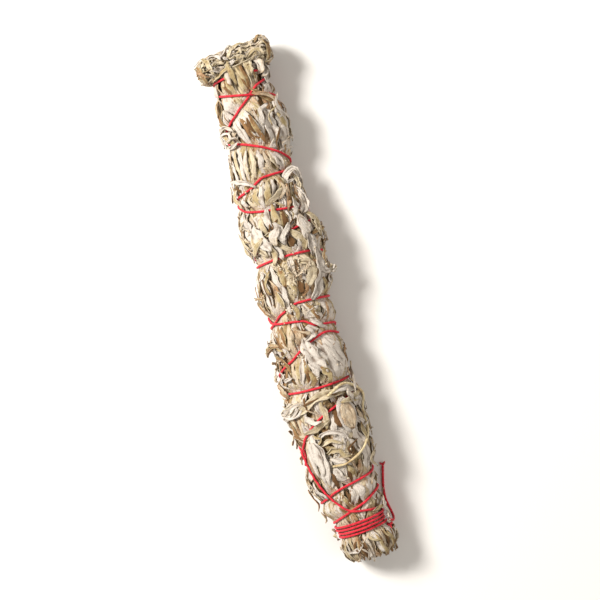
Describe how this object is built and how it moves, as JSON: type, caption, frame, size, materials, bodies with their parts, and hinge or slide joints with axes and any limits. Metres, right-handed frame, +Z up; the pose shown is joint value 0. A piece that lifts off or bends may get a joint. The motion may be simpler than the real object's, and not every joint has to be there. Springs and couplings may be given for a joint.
{
  "type": "mugwort smudge stick",
  "caption": "Bundle of dried leafy herb sprigs, folded at the tip and spirally bound with red cotton thread, lying on its side.",
  "frame": {"origin": "centre of the bundle's length and width, at the height of the surface that it lies on", "axes": "+Y from the cut butt towards the folded tip, +Z up, +X to the right seen from above with the tip away"},
  "size_m": [0.0416, 0.2352, 0.0245],
  "materials": {
    "leaf": "felted dry leaf, grey-white below and olive green above",
    "inner_leaf": "crushed dry leaf, brown in the gaps",
    "stem": "ridged dry stem with a pale pith where it is cut",
    "thread": "twisted cotton"
  },
  "bodies": {
    "root": {"core_stem_1": "stem", "core_stem_2": "stem", "core_stem_3": "stem", "core_stem_4": "stem", "core_stem_5": "stem", "core_stem_6": "stem", "core_stem_7": "stem", "inner_sprig_1": "inner_leaf", "inner_sprig_2": "inner_leaf", "inner_sprig_3": "inner_leaf", "inner_sprig_4": "inner_leaf", "inner_sprig_5": "inner_leaf", "inner_sprig_6": "inner_leaf", "leafy_sprig_01": "leaf", "leafy_sprig_02": "leaf", "leafy_sprig_03": "leaf", "leafy_sprig_04": "leaf", "leafy_sprig_05": "leaf", "leafy_sprig_06": "leaf", "leafy_sprig_07": "leaf", "leafy_sprig_08": "leaf", "leafy_sprig_09": "leaf", "leafy_sprig_10": "leaf", "leafy_sprig_11": "leaf", "leafy_sprig_12": "leaf", "leafy_sprig_13": "leaf", "leafy_sprig_14": "leaf", "leafy_sprig_15": "leaf", "leafy_sprig_16": "leaf", "leafy_sprig_17": "leaf", "leafy_sprig_18": "leaf", "leafy_sprig_19": "leaf", "leafy_sprig_20": "leaf", "leafy_sprig_21": "leaf", "leafy_sprig_22": "leaf", "leafy_sprig_23": "leaf", "leafy_sprig_24": "leaf", "leafy_sprig_25": "leaf", "leafy_sprig_26": "leaf", "leafy_sprig_27": "leaf", "leafy_sprig_28": "leaf", "leafy_sprig_29": "leaf", "leafy_sprig_30": "leaf", "leafy_sprig_31": "leaf", "leafy_sprig_32": "leaf", "crown_fold_1": "leaf", "crown_fold_2": "leaf", "crown_fold_3": "leaf", "crown_fold_4": "leaf", "binding_thread": "thread", "thread_knot": "thread", "thread_tail": "thread", "bent_stalk": "stem", "curled_leaf_right": "leaf", "loose_tip_right": "leaf", "white_tuft_left": "leaf", "brown_frond_left": "leaf"}
  },
  "joints": []
}
